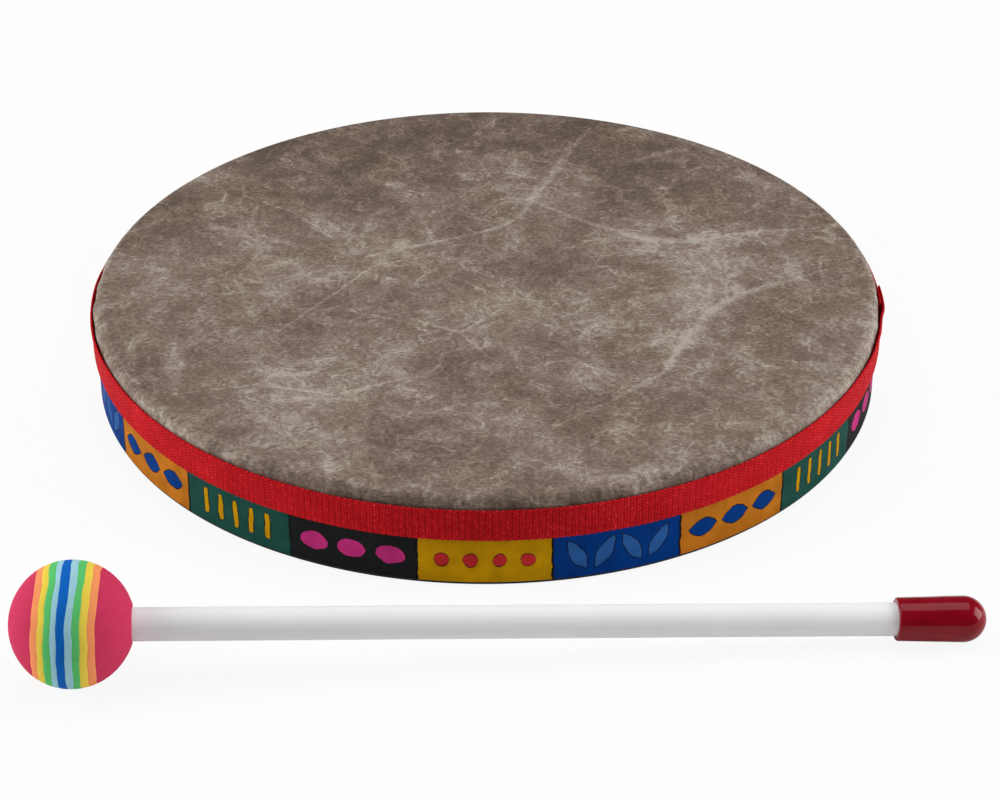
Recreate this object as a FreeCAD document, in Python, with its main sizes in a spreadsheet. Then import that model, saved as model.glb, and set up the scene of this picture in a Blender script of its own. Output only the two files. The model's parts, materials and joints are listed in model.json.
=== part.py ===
"""Frame drum and its mallet.

A wound fibre hoop carries a film head whose collar is folded down its side and glued.
A woven band covers the collar's lower edge, and a printed film covers the hoop below it.
The mallet is a ball of laminated foam sheets on a plastic tube with a vinyl grip cap.

Frame: millimetres, +Z up, origin at the centre of the hoop's bottom rim.
The player's side is -Y, where the mallet lies.
"""
import FreeCAD, Part
import math
import os

import Sketcher

# ---------------------------------------------------------------- driving dimensions, mm and degrees
SIZES = {
    # hoop
    "shell_radius": 127.0,
    "shell_wall": 6.0,
    "shell_height": 30.15,
    "bearing_edge_round": 2.5,
    "inner_edge_chamfer": 1.0,
    "foot_round": 0.8,
    # head
    "film_thickness": 0.35,
    "head_glue": 0.15,
    "collar_showing": 3.4,
    "collar_covered": 8.7,
    # woven band
    "band_width": 10.5,
    "band_thickness": 1.0,
    "band_glue": 0.15,
    "band_free_edge": 1.0,
    "glue_setback": 0.5,
    "lap_length": 12.0,
    "lap_azimuth": -1.0,
    # printed wrap
    "wrap_thickness": 0.3,
    "wrap_foot_gap": 1.3,
    "wrap_collar_gap": 0.4,
    "wrap_seam_gap": 0.5,
    "wrap_seam_azimuth": -22.0,
    # mallet
    "ball_radius": 18.2,
    "outer_sheet_start": -10.0,
    "tube_radius": 4.75,
    "tube_wall": 1.5,
    "tube_length": 254.3,
    "tube_past_centre": 3.0,
    "bore_glue": 0.15,
    "cap_wall": 1.85,
    "cap_mouth_wall": 1.4,
    "cap_length": 26.1,
    "cap_fit": 0.05,
    "cap_lip_round": 0.5,
    # where the mallet lies: to the left, in front of the band, its cap end turned a little back
    "ball_left": 114.2,
    "ball_ahead": 42.25,
    "mallet_yaw": 4.2,
}

# The foam sheets between the ball's two pink ends, from its free end to the handle: thickness.
INNER_SHEETS = {
    "02_orange": 2.0,
    "03_yellow": 1.8,
    "04_green": 1.9,
    "05_pale_blue": 2.05,
    "06_blue": 2.55,
    "07_pale_blue": 2.1,
    "08_green": 2.0,
    "09_yellow": 2.2,
    "10_orange": 1.9,
}
for sheet_name, thickness in INNER_SHEETS.items():
    SIZES[f"foam_{sheet_name}"] = thickness

SHEET_NAME = "Dimensions"

doc = FreeCAD.newDocument("FrameDrum")


def fill_dimension_sheet():
    """The spreadsheet that every sub-part is bound to, one plain number a row."""
    sheet = doc.addObject("Spreadsheet::Sheet", SHEET_NAME)
    for row, (name, value) in enumerate(SIZES.items(), start=1):
        sheet.set(f"A{row}", name)
        sheet.set(f"B{row}", str(value))
        sheet.setAlias(f"B{row}", name)
    doc.recompute()


class Size:
    """A length known both as a number and as a formula over the sheet's cells."""

    def __init__(self, number, formula):
        self.number = number
        self.formula = formula

    def __add__(self, other):
        return Size(self.number + other.number, f"({self.formula} + {other.formula})")

    def __sub__(self, other):
        return Size(self.number - other.number, f"({self.formula} - {other.formula})")

    def __truediv__(self, other):
        return Size(self.number / other.number, f"({self.formula} / {other.formula})")

    def __neg__(self):
        return Size(-self.number, f"(-{self.formula})")


def cell(name):
    return Size(SIZES[name], f"{SHEET_NAME}.{name}")


FULL_TURN = Size(360.0, "360")


def arc_degrees(length, radius):
    """The angle that a length along a circle takes up."""
    turn = length / radius
    return Size(math.degrees(turn.number), f"({turn.formula} * 180 / pi)")


def arc_sine(ratio):
    return Size(math.degrees(math.asin(ratio.number)), f"asin({ratio.formula})")


# ---------------------------------------------------------------- shared sizes, worked out once
shell_inner = cell("shell_radius") - cell("shell_wall")
shell_top = cell("shell_height")
playing_surface = shell_top + cell("film_thickness")
collar_inner = cell("shell_radius") + cell("head_glue")
collar_outer = collar_inner + cell("film_thickness")
band_inner = collar_outer + cell("band_glue")
band_outer = band_inner + cell("band_thickness")
lap_outer = band_outer + cell("band_thickness")
band_top = playing_surface - cell("collar_showing")
band_bottom = band_top - cell("band_width")
collar_bottom = band_top - cell("collar_covered")
wrap_top = collar_bottom - cell("wrap_collar_gap")
wrap_outer = cell("shell_radius") + cell("wrap_thickness")
round_start = shell_top - cell("bearing_edge_round")
round_inner = cell("shell_radius") - cell("bearing_edge_round")
film_round = cell("bearing_edge_round") + cell("head_glue")
film_round_outer = film_round + cell("film_thickness")
film_round_start = shell_top - film_round
tube_start = -cell("tube_past_centre")
tube_end = cell("tube_length") - cell("tube_past_centre")
bore_radius = cell("tube_radius") + cell("bore_glue")
bore_start = tube_start - cell("bore_glue")
cap_bore = cell("tube_radius") + cell("cap_fit")
cap_radius = cap_bore + cell("cap_wall")
cap_mouth_radius = cap_bore + cell("cap_mouth_wall")
cap_tip = tube_end + cap_radius
cap_mouth = cap_tip - cell("cap_length")
ball_radius = cell("ball_radius")

# The mallet's pieces are made standing along +Z from the ball's centre, then laid down together:
# the ball and the cap's domed end both touch the ground.
lying_pitch = arc_sine((ball_radius - cap_radius) / tube_end)
MALLET_PLACE = (
    f"placement(vector(-{SHEET_NAME}.ball_left;"
    f" -({band_outer.formula} + {SHEET_NAME}.ball_ahead); {ball_radius.formula});"
    f" rotation({SHEET_NAME}.mallet_yaw * 1 deg; 90 deg + {lying_pitch.formula}; 0))"
)


# ---------------------------------------------------------------- outlines and bodies
def origin_plane(body, role):
    return next(f for f in body.Origin.OriginFeatures if f.Role == role)


def arc_between(start, end, radius, left):
    """The arc under half a turn from start to end, its centre to the left or right of the way."""
    chord = end - start
    middle = (start + end) * 0.5
    rise = math.sqrt(max(radius * radius - chord.Length * chord.Length / 4, 0.0))
    side = FreeCAD.Vector(-chord.y, chord.x, 0).normalize()
    centre = middle + side * (rise if left else -rise)
    first = math.atan2(start.y - centre.y, start.x - centre.x)
    last = math.atan2(end.y - centre.y, end.x - centre.x)
    circle = Part.Circle(centre, FreeCAD.Vector(0, 0, 1), radius)
    if left:
        return Part.ArcOfCircle(circle, first, last), 1, 2
    return Part.ArcOfCircle(circle, last, first), 2, 1


def closed_outline(body, name, corners):
    """A sketch on the body's XZ plane through corners, in order round the outline.

    Each corner is (radius, height), the radius or height None where it lies on that axis.
    A corner of (radius, height, arc radius, left) starts an arc instead of a straight side.
    """
    sketch = body.newObject("Sketcher::SketchObject", name)
    sketch.AttachmentSupport = (origin_plane(body, "XZ_Plane"), [""])
    sketch.MapMode = "FlatFace"
    points = [
        FreeCAD.Vector(c[0].number if c[0] else 0, c[1].number if c[1] else 0, 0) for c in corners
    ]
    sides = []
    for index, corner in enumerate(corners):
        start = points[index]
        end = points[(index + 1) % len(points)]
        if len(corner) == 2:
            sides.append((sketch.addGeometry(Part.LineSegment(start, end), False), 1, 2))
            continue
        arc, first, last = arc_between(start, end, corner[2].number, corner[3])
        sides.append((sketch.addGeometry(arc, False), first, last))
    for index, (side, first, _) in enumerate(sides):
        before, _, last_before = sides[index - 1]
        sketch.addConstraint(Sketcher.Constraint("Coincident", before, last_before, side, first))
    for (side, first, _), corner in zip(sides, corners):
        for kind, axis, value in (("DistanceX", -2, corner[0]), ("DistanceY", -1, corner[1])):
            if value is None:
                sketch.addConstraint(Sketcher.Constraint("PointOnObject", side, first, axis))
                continue
            size = Sketcher.Constraint(kind, -1, 1, side, first, value.number)
            bind_constraint(sketch, size, value)
        if len(corner) > 2:
            bind_constraint(sketch, Sketcher.Constraint("Radius", side, corner[2].number), corner[2])
    return sketch


def bind_constraint(sketch, constraint, value):
    number = sketch.addConstraint(constraint)
    sketch.setExpression(f"Constraints[{number}]", value.formula)


def turned(body, sketch, name, angle=None):
    """A revolution of a sketch about Z: a full turn, or an angle centred on the XZ plane."""
    feature = body.newObject("PartDesign::Revolution", name)
    feature.Profile = sketch
    feature.ReferenceAxis = (sketch, ["V_Axis"])
    feature.Angle = FULL_TURN.number
    feature.Midplane = angle is not None
    if angle:
        feature.Angle = angle.number
        feature.setExpression("Angle", angle.formula)
    sketch.Visibility = False


def turned_body(label, corners, angle=None):
    """A body turned about Z from an outline of (radius, height)."""
    body = doc.addObject("PartDesign::Body", label)
    body.Label = label
    turned(body, closed_outline(body, f"{label}_outline", corners), f"{label}_turn", angle)
    return body


def thin_ring(label, inner, outer, bottom, top, angle=None):
    corners = [(inner, bottom), (outer, bottom), (outer, top), (inner, top)]
    return turned_body(label, corners, angle)


def face_azimuth(body, azimuth):
    """Turn a body about Z, so that what it has on its XZ plane faces this way."""
    body.setExpression("Placement", f"placement(vector(0; 0; 0); rotation({azimuth}; 0; 0))")


# ---------------------------------------------------------------- the drum
def make_shell():
    """Wound fibre hoop: rounded bearing edge outside, small chamfer inside, eased foot."""
    outer = cell("shell_radius")
    chamfer = cell("inner_edge_chamfer")
    foot = cell("foot_round")
    corners = [
        (shell_inner, None),
        (outer - foot, None, foot, True),
        (outer, foot),
        (outer, round_start, cell("bearing_edge_round"), True),
        (round_inner, shell_top),
        (shell_inner + chamfer, shell_top),
        (shell_inner, shell_top - chamfer),
    ]
    turned_body("shell", corners)


def make_head():
    """Film head: flat disc, turned over the bearing edge, collar down the hoop's side."""
    corners = [
        (None, shell_top),
        (round_inner, shell_top, film_round, False),
        (collar_inner, film_round_start),
        (collar_inner, collar_bottom),
        (collar_outer, collar_bottom),
        (collar_outer, film_round_start, film_round_outer, True),
        (round_inner, playing_surface),
        (None, playing_surface),
    ]
    turned_body("head", corners)


def make_adhesives():
    """Glue line under the collar, and one under the band that stops short of its edges."""
    setback = cell("glue_setback")
    shell_outer = cell("shell_radius")
    thin_ring("head_adhesive", shell_outer, collar_inner, collar_bottom + setback, film_round_start)
    glue_top = band_top - cell("band_free_edge")
    thin_ring("band_adhesive", collar_outer, band_inner, band_bottom + setback, glue_top)


def make_rim_band():
    """Woven band: one full round, and its end lapped over its start."""
    body = thin_ring("rim_band", band_inner, band_outer, band_bottom, band_top)
    doc.recompute()
    lap = [
        (band_outer, band_bottom),
        (lap_outer, band_bottom),
        (lap_outer, band_top),
        (band_outer, band_top),
    ]
    outline = closed_outline(body, "rim_band_lap_outline", lap)
    turned(body, outline, "rim_band_lap", arc_degrees(cell("lap_length"), band_outer))
    face_azimuth(body, f"{SHEET_NAME}.lap_azimuth")


def make_shell_wrap():
    """Printed film sleeve, open along one narrow butt seam."""
    sleeve = FULL_TURN - arc_degrees(cell("wrap_seam_gap"), wrap_outer)
    bottom = cell("wrap_foot_gap")
    body = thin_ring("shell_wrap", cell("shell_radius"), wrap_outer, bottom, wrap_top, sleeve)
    face_azimuth(body, f"{SHEET_NAME}.wrap_seam_azimuth + 180")


# ---------------------------------------------------------------- the mallet
def lay_down(piece):
    piece.setExpression("Placement", MALLET_PLACE)


def latitude(plane):
    """The latitude at which a plane across the mallet's axis meets the ball's skin."""
    return arc_sine(plane / ball_radius)


def ball_zone(name, start, end):
    """The slice of the ball between two planes across its axis, either of them None at a pole."""
    zone = doc.addObject("Part::Sphere", name)
    zone.setExpression("Radius", ball_radius.formula)
    if start:
        zone.setExpression("Angle1", latitude(start).formula)
    if end:
        zone.setExpression("Angle2", latitude(end).formula)
    return zone


def bored_disc(label, zone):
    """A slice of the ball cut by the blind bore, which runs out through the ball's skin."""
    bore = doc.addObject("Part::Cylinder", f"{label}_bore")
    bore.setExpression("Radius", bore_radius.formula)
    bore.setExpression("Height", (ball_radius - bore_start).formula)
    bore.setExpression(".Placement.Base.z", bore_start.formula)
    disc = doc.addObject("Part::Cut", label)
    disc.Base = zone
    disc.Tool = bore
    return disc


def make_ball():
    """Foam sheets bonded face to face and ground to a ball, then bored for the handle."""
    planes = [cell("outer_sheet_start")]
    for name in INNER_SHEETS:
        planes.append(planes[-1] + cell(f"foam_{name}"))
    labels = ["ball_disc_01_pink", *(f"ball_disc_{name}" for name in INNER_SHEETS)]
    labels.append(f"ball_disc_{len(labels) + 1:02d}_pink")
    for label, start, end in zip(labels, [None, *planes], [*planes, None]):
        reached = end is None or end.number > bore_start.number
        disc = ball_zone(f"{label}_zone" if reached else label, start, end)
        if reached:
            disc = bored_disc(label, disc)
        disc.Label = label
        lay_down(disc)


def make_ball_adhesive():
    """Glue cup between the handle and the ball's blind bore, just short of the ball's skin."""
    tube = cell("tube_radius")
    rim = ball_radius - cell("glue_setback")
    corners = [
        (None, bore_start),
        (bore_radius, bore_start),
        (bore_radius, rim),
        (tube, rim),
        (tube, tube_start),
        (None, tube_start),
    ]
    lay_down(turned_body("ball_adhesive", corners))


def make_handle_tube():
    outer = cell("tube_radius")
    lay_down(thin_ring("handle_tube", outer - cell("tube_wall"), outer, tube_start, tube_end))


def make_grip_cap():
    """Dipped vinyl cap: domed end, a wall that thins towards the mouth, and a rounded lip."""
    lip = cell("cap_lip_round")
    corners = [
        (cap_bore, cap_mouth),
        (cap_mouth_radius - lip, cap_mouth, lip, True),
        (cap_mouth_radius, cap_mouth + lip),
        (cap_radius, tube_end, cap_radius, True),
        (None, cap_tip),
        (None, tube_end + cap_bore, cap_bore, False),
        (cap_bore, tube_end),
    ]
    lay_down(turned_body("grip_cap", corners))


# ---------------------------------------------------------------- checks and files
def write_parts():
    """Check every object, then write each sub-part to a STEP file named after its label."""
    doc.recompute()
    for item in doc.Objects:
        faults = [state for state in item.State if state in ("Invalid", "Error")]
        if faults:
            raise RuntimeError(f"{item.Label} is {faults[0]}")
    kinds = ("PartDesign::Body", "Part::Cut", "Part::Sphere")
    cuts = [item for item in doc.Objects if item.TypeId == "Part::Cut"]
    operands = [operand for cut in cuts for operand in (cut.Base, cut.Tool)]
    parts = [item for item in doc.Objects if item.TypeId in kinds and item not in operands]
    os.makedirs("parts", exist_ok=True)
    for part in parts:
        shape = part.Shape
        if shape.isNull() or not shape.isValid() or len(shape.Solids) != 1:
            raise RuntimeError(f"{part.Label} is not one valid solid")
    for part in parts:
        part.Shape.exportStep(f"parts/{part.Label}.step")
        print(f"{part.Label}: {part.Shape.Volume:.1f} mm3")
    print(f"{len(parts)} sub-parts")


fill_dimension_sheet()
make_shell()
make_head()
make_adhesives()
make_rim_band()
make_shell_wrap()
make_ball()
make_ball_adhesive()
make_handle_tube()
make_grip_cap()
write_parts()
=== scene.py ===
"""Looks of a frame drum and its foam-ball mallet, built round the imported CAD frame.

Every length is in metres in the CAD frame: +Z up through the head, the mallet on the -Y side.
"""
import json
import math

import bmesh
import bpy
from mathutils import Matrix, Vector, noise


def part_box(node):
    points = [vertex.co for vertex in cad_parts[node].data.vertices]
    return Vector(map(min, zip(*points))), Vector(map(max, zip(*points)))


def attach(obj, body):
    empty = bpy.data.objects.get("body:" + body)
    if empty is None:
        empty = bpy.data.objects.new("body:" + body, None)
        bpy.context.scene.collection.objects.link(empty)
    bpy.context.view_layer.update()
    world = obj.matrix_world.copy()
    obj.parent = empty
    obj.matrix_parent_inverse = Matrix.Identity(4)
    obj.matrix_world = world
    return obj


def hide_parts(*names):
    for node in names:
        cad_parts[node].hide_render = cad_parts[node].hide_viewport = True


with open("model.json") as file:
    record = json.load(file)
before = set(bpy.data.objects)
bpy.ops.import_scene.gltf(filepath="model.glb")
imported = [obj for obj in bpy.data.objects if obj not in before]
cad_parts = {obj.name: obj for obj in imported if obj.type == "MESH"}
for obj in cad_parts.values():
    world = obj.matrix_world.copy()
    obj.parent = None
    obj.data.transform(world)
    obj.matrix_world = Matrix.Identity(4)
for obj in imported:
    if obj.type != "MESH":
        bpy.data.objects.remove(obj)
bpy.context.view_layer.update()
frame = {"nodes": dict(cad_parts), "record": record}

MM = 0.001
FULL_TURN = 2 * math.pi


# ---------------------------------------------------------------- the camera
def make_camera():
    """A short telephoto view from the player's side, looking 32 degrees down."""
    lens = bpy.data.cameras.new("camera")
    lens.sensor_fit = "HORIZONTAL"
    lens.sensor_width = 36.0
    lens.lens = 100.19
    lens.clip_start = 0.05
    lens.clip_end = 20.0
    camera = bpy.data.objects.new("camera", lens)
    camera.location = (0.0044, -0.7921, 0.4798)
    camera.rotation_euler = (math.radians(58.0), 0.0, 0.0)
    bpy.context.scene.collection.objects.link(camera)
    bpy.context.scene.camera = camera


# ---------------------------------------------------------------- colours, nodes and materials
def linear(hex_colour):
    """An sRGB hex colour as linear red, green, blue and a full alpha."""
    channels = []
    for start in (1, 3, 5):
        value = int(hex_colour[start:start + 2], 16) / 255
        channels.append(value / 12.92 if value <= 0.04045 else ((value + 0.055) / 1.055) ** 2.4)
    return (*channels, 1.0)


def node(tree, kind, inputs=None, **settings):
    """A new node with its settings; an input is a number, an output or a node's first output.

    The kind leaves out the ShaderNode that its type's name starts with.
    """
    made = tree.nodes.new(kind if kind.startswith("NodeGroup") else "ShaderNode" + kind)
    for name, value in settings.items():
        setattr(made, name, value)
    for socket, value in (inputs or {}).items():
        if isinstance(value, bpy.types.Node):
            value = next(output for output in value.outputs if output.enabled)
        if isinstance(value, bpy.types.NodeSocket):
            tree.links.new(value, made.inputs[socket])
        else:
            made.inputs[socket].default_value = value
    return made


def combined(tree, values, operation):
    """Values put together one after another: their sum, or the largest of them."""
    total = values[0]
    for value in values[1:]:
        total = node(tree, "Math", {0: total, 1: value}, operation=operation)
    return total


def nudged(tree, place, pattern, reach):
    """A place moved about by a noise, by up to half the reach either way along each axis."""
    away = node(tree, "VectorMath", {0: pattern.outputs["Color"], 1: (0.5, 0.5, 0.5)}, operation="SUBTRACT")
    away = node(tree, "VectorMath", {0: away, 1: reach}, operation="MULTIPLY")
    return node(tree, "VectorMath", {0: place, 1: away}, operation="ADD")


def material_tree(name):
    """A new material and its emptied node tree."""
    material = bpy.data.materials.new(name)
    material.use_nodes = True
    material.node_tree.nodes.clear()
    return material, material.node_tree


def colour_bands(tree, factor, stops):
    """A colour ramp over a factor, its stops given as (position, hex colour)."""
    ramp = node(tree, "ValToRGB", {"Fac": factor})
    elements = ramp.color_ramp.elements
    while len(elements) < len(stops):
        elements.new(0.5)
    for element, (position, colour) in zip(elements, stops):
        element.position = position
        element.color = linear(colour)
    return ramp


def finish_material(tree, colour, inputs, height=None, depth=0.0):
    """The surface shader and output; height, in metres times depth, gives the fine relief."""
    surface = {"Base Color": colour, **inputs}
    if height is not None:
        surface["Normal"] = node(tree, "Bump", {"Height": height, "Distance": depth})
    shader = node(tree, "BsdfPrincipled", surface)
    node(tree, "OutputMaterial", {"Surface": shader})


# ---------------------------------------------------------------- mesh helpers
def wire(corners, longest=None):
    """An open outline in the XZ plane as a wire of joined vertices.

    Each corner is (radius, height), or (radius, height, round, segments) to round it.
    Straight sides longer than longest are divided.
    """
    bm = bmesh.new()
    verts = [bm.verts.new((corner[0], 0.0, corner[1])) for corner in corners]
    for start, end in zip(verts, verts[1:]):
        bm.edges.new((start, end))
    for vert, corner in zip(verts, corners):
        if len(corner) == 4:
            bmesh.ops.bevel(bm, geom=[vert], offset=corner[2], segments=corner[3], profile=0.5,
                            affect="VERTICES", material=-1)
    if longest:
        for edge in list(bm.edges):
            cuts = math.ceil(edge.calc_length() / longest) - 1
            if cuts > 0:
                bmesh.ops.subdivide_edges(bm, edges=[edge], cuts=cuts)
    return bm


def turn(bm, steps):
    """Spins the wire a full turn about Z, closes its seam and poles and faces it outwards.

    A long spin is slow, so a part of the turn is spun and then copied round.
    """
    parts = 1
    while steps / parts > 120:
        parts *= 2
    bmesh.ops.spin(bm, geom=bm.verts[:] + bm.edges[:], cent=(0, 0, 0), axis=(0, 0, 1),
                   angle=FULL_TURN / parts, steps=steps // parts, use_merge=parts == 1)
    while parts > 1:
        copied = bmesh.ops.duplicate(bm, geom=bm.verts[:] + bm.edges[:] + bm.faces[:])["geom"]
        bmesh.ops.rotate(bm, cent=(0, 0, 0), matrix=Matrix.Rotation(FULL_TURN / parts, 3, "Z"),
                         verts=[item for item in copied if isinstance(item, bmesh.types.BMVert)])
        parts //= 2
    bmesh.ops.remove_doubles(bm, verts=bm.verts[:], dist=0.001 * MM)
    bmesh.ops.recalc_face_normals(bm, faces=bm.faces[:])
    return bm


def piece(bm, name, material, body, slot, *nodes):
    """A smooth-shaded object of the mesh, riding on a body in place of its CAD nodes."""
    mesh = bpy.data.meshes.new(name)
    bm.to_mesh(mesh)
    bm.free()
    mesh.materials.append(material)
    mesh.polygons.foreach_set("use_smooth", [True] * len(mesh.polygons))
    mesh.set_sharp_from_angle(angle=math.radians(50))
    made = bpy.data.objects.new(name, mesh)
    bpy.context.scene.collection.objects.link(made)
    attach(made, body)
    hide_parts(*nodes)
    return made


def ease(value, low, high):
    """0 below low, 1 above high and a smooth rise between."""
    share = min(max((value - low) / (high - low), 0.0), 1.0)
    return share * share * (3 - 2 * share)


def azimuth(point):
    return math.atan2(point.y, point.x)


# ---------------------------------------------------------------- places read from the frame
shell_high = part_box("shell")[1]
head_low, head_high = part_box("head")
band_low, band_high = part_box("rim_band")
wrap_low, wrap_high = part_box("shell_wrap")
glue_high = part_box("band_adhesive")[1]
inner_wall = next(m for m in frame["record"]["mounts"] if m["name"] == "inner_wall")

SHELL_RADIUS = shell_high.y
SHELL_TOP = shell_high.z
SHELL_INNER = inner_wall["dims"]["r_mm"] * MM
HEAD_RADIUS = head_high.y
HEAD_TOP = head_high.z
FILM = HEAD_TOP - SHELL_TOP
EDGE_ROUND = 3.0 * MM
BAND_INNER = glue_high.y
BAND_OUTER = band_high.y
BAND_THICK = BAND_OUTER - BAND_INNER
BAND_BOTTOM = band_low.z
BAND_TOP = band_high.z
BAND_WIDTH = BAND_TOP - BAND_BOTTOM
WRAP_RADIUS = wrap_high.y
WRAP_BOTTOM = wrap_low.z
WRAP_TOP = wrap_high.z


# ---------------------------------------------------------------- the head
def slack(angle):
    """1 at the two places, one at each side, where band and film part a little; 0 elsewhere."""
    share = 0.0
    for middle, reach in ((-11.0, 15.0), (187.0, 18.0)):
        away = (math.degrees(angle) - middle + 180) % 360 - 180
        share += 1 - ease(abs(away), 0.4 * reach, reach)
    return share


def film_pleats(turn_angle, height):
    """How far the turned-down collar puckers in or out, most where it parts from the band."""
    round_trip = Vector((math.cos(turn_angle), math.sin(turn_angle), 0))
    fine = noise.noise(round_trip * 150 + Vector((0, 0, height * 60)))
    broad = noise.noise(round_trip * 34 + Vector((3, 1, height * 20)))
    wave = ease(noise.noise(round_trip * 12 + Vector((0, 0, 4))), -0.3, 0.35)
    return (0.10 * fine + 0.12 * broad + (0.6 * wave - 0.25) * slack(turn_angle)) * MM


def make_head(material):
    """The film: a flat disc, rounded over the bearing edge, its collar down the shell's side."""
    inside = HEAD_RADIUS - FILM
    bm = wire(
        [
            (0.0, HEAD_TOP),
            (HEAD_RADIUS - 8 * MM, HEAD_TOP),
            (HEAD_RADIUS, HEAD_TOP, EDGE_ROUND, 14),
            (HEAD_RADIUS, BAND_TOP - 1.0 * MM),
            (HEAD_RADIUS, head_low.z),
            (inside, head_low.z),
            (inside, SHELL_TOP, EDGE_ROUND - FILM, 6),
            (0.0, SHELL_TOP),
        ],
        longest=16 * MM,
    )
    turn(bm, 1440)
    film = bm.verts.layers.float_vector.new("film")
    for vert in bm.verts:
        # the distance over the film from its centre, so that the pattern runs on over the edge
        radius = math.hypot(vert.co.x, vert.co.y)
        run = 1 + (HEAD_TOP - vert.co.z) / max(radius, MM)
        outward = max(0.0, radius - HEAD_RADIUS + EDGE_ROUND)
        upward = max(0.0, vert.co.z - HEAD_TOP + EDGE_ROUND)
        under = 1 if math.hypot(outward, upward) < EDGE_ROUND - FILM / 2 else 0
        vert[film] = (vert.co.x * run, vert.co.y * run, under)
        puckered = ease(vert.co.z, BAND_TOP - 1.2 * MM, BAND_TOP)
        puckered *= 1 - ease(vert.co.z, HEAD_TOP - 1.6 * MM, HEAD_TOP - 0.3 * MM)
        if radius > HEAD_RADIUS - 2.2 * MM and puckered > 0:
            move = film_pleats(azimuth(vert.co), vert.co.z) * puckered
            vert.co.x *= 1 + move / radius
            vert.co.y *= 1 + move / radius
    return piece(bm, "drum_head", material, "drum", "head_film", "head")


# ---------------------------------------------------------------- the woven band
LAP_LENGTH = 12 * MM
LAP_START = math.radians(-3.68)
COLUMN = 1.95 * MM  # from one rib of the weave to the next, along the band
ROW = 1.05 * MM  # from one dash in a rib to the next, across the band


def band_flare(angle):
    """The band's top edge stands off a little all round, and by 0.5 mm at the two slack places."""
    unsteady = noise.noise(Vector((math.cos(angle) * 3, math.sin(angle) * 3, 4.0)))
    return (0.08 + 0.04 * unsteady + 0.42 * slack(angle)) * MM


def band_place(along, across, depth):
    """Where a point of the flat band lies once it is wound on: along it, up it, out of it."""
    turned = along / (BAND_OUTER - BAND_THICK / 2)
    angle = LAP_START + turned
    climb = ease(turned, FULL_TURN - math.radians(4.2), FULL_TURN - math.radians(0.4))
    stand_off = band_flare(angle) * ease(across, 0.65 * BAND_WIDTH, BAND_WIDTH)
    radius = BAND_INNER + depth + climb * 0.86 * BAND_THICK + stand_off
    return Vector((radius * math.cos(angle), radius * math.sin(angle), BAND_BOTTOM + across))


def make_band(material):
    """Plain-woven webbing, ribbed across its width, wound once round and lapped on itself."""
    length = FULL_TURN * (BAND_OUTER - BAND_THICK / 2) + LAP_LENGTH
    columns = round(length / COLUMN)
    bm = bmesh.new()
    bmesh.ops.create_grid(bm, x_segments=columns * 4, y_segments=20, size=0.5)
    weave = bm.verts.layers.float_vector.new("weave")
    for vert in bm.verts:
        along = (vert.co.x + 0.5) * length
        across = (vert.co.y + 0.5) * BAND_WIDTH
        vert[weave] = (along, across, 0)
        # each rib stands proud, and the turned threads at both edges make small scallops
        rib = math.sin(math.pi * along / COLUMN) ** 2
        edge = min(across, BAND_WIDTH - across)
        side = 1 if across > BAND_WIDTH / 2 else -1
        scallop = (0.1 if side > 0 else 0.22) * (rib - 0.5) * MM * (1 - ease(edge, 0, 1.2 * MM))
        wander = 0.10 * MM * noise.noise(Vector((along * 90, side * 5.0, 1)))
        vert.co = (along, across + side * scallop + wander, -0.14 * MM + 0.07 * MM * rib)
        vert.co.z -= 0.32 * MM * (1 - ease(edge, 0, 0.9 * MM))
    bmesh.ops.solidify(bm, geom=bm.faces[:], thickness=BAND_THICK - 0.25 * MM)
    bmesh.ops.recalc_face_normals(bm, faces=bm.faces[:])
    for vert in bm.verts:
        depth = vert.co.z + BAND_THICK
        if depth < 0.4 * BAND_THICK:
            # the back lies flat on its glue, and its top edge turns a little away from the film
            depth = 0.02 * MM + 0.2 * MM * ease(vert.co.y, BAND_WIDTH - 1.3 * MM, BAND_WIDTH)
        vert.co = band_place(vert.co.x, vert.co.y, depth)
    bmesh.ops.recalc_face_normals(bm, faces=bm.faces[:])
    band = piece(bm, "woven_band", material, "drum", "red_webbing", "rim_band")
    return band


# ---------------------------------------------------------------- the printed sleeve
SEAM_ANGLE = math.radians(-22.0)
SEAM_GAP = 0.5 * MM
UNDER_WRAP = 0.02 * MM  # the hair of air between the sleeve and the shell


def make_wrap(material):
    """A thin printed film wound once round the shell, its two ends meeting at a narrow seam."""
    length = FULL_TURN * WRAP_RADIUS - SEAM_GAP
    bm = bmesh.new()
    bmesh.ops.create_grid(bm, x_segments=900, y_segments=6, size=0.5)
    bmesh.ops.translate(bm, vec=(0.5, 0.5, 0), verts=bm.verts[:])
    bmesh.ops.scale(bm, vec=(length, WRAP_TOP - WRAP_BOTTOM, 1), verts=bm.verts[:])
    sheet = bm.verts.layers.float_vector.new("sheet")
    for vert in bm.verts:
        angle = SEAM_ANGLE + (vert.co.x + SEAM_GAP / 2) / WRAP_RADIUS
        vert[sheet] = (WRAP_RADIUS * (angle + math.pi / 2), WRAP_BOTTOM + vert.co.y, 0)
    bmesh.ops.solidify(bm, geom=bm.faces[:], thickness=WRAP_RADIUS - SHELL_RADIUS - UNDER_WRAP)
    for vert in bm.verts:
        angle = SEAM_ANGLE + (vert.co.x + SEAM_GAP / 2) / WRAP_RADIUS
        radius = WRAP_RADIUS if abs(vert.co.z) < 0.1 * MM else SHELL_RADIUS + UNDER_WRAP
        vert.co = (radius * math.cos(angle), radius * math.sin(angle), WRAP_BOTTOM + vert.co.y)
    bmesh.ops.recalc_face_normals(bm, faces=bm.faces[:])
    return piece(bm, "printed_sleeve", material, "drum", "printed_film", "shell_wrap")


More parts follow.
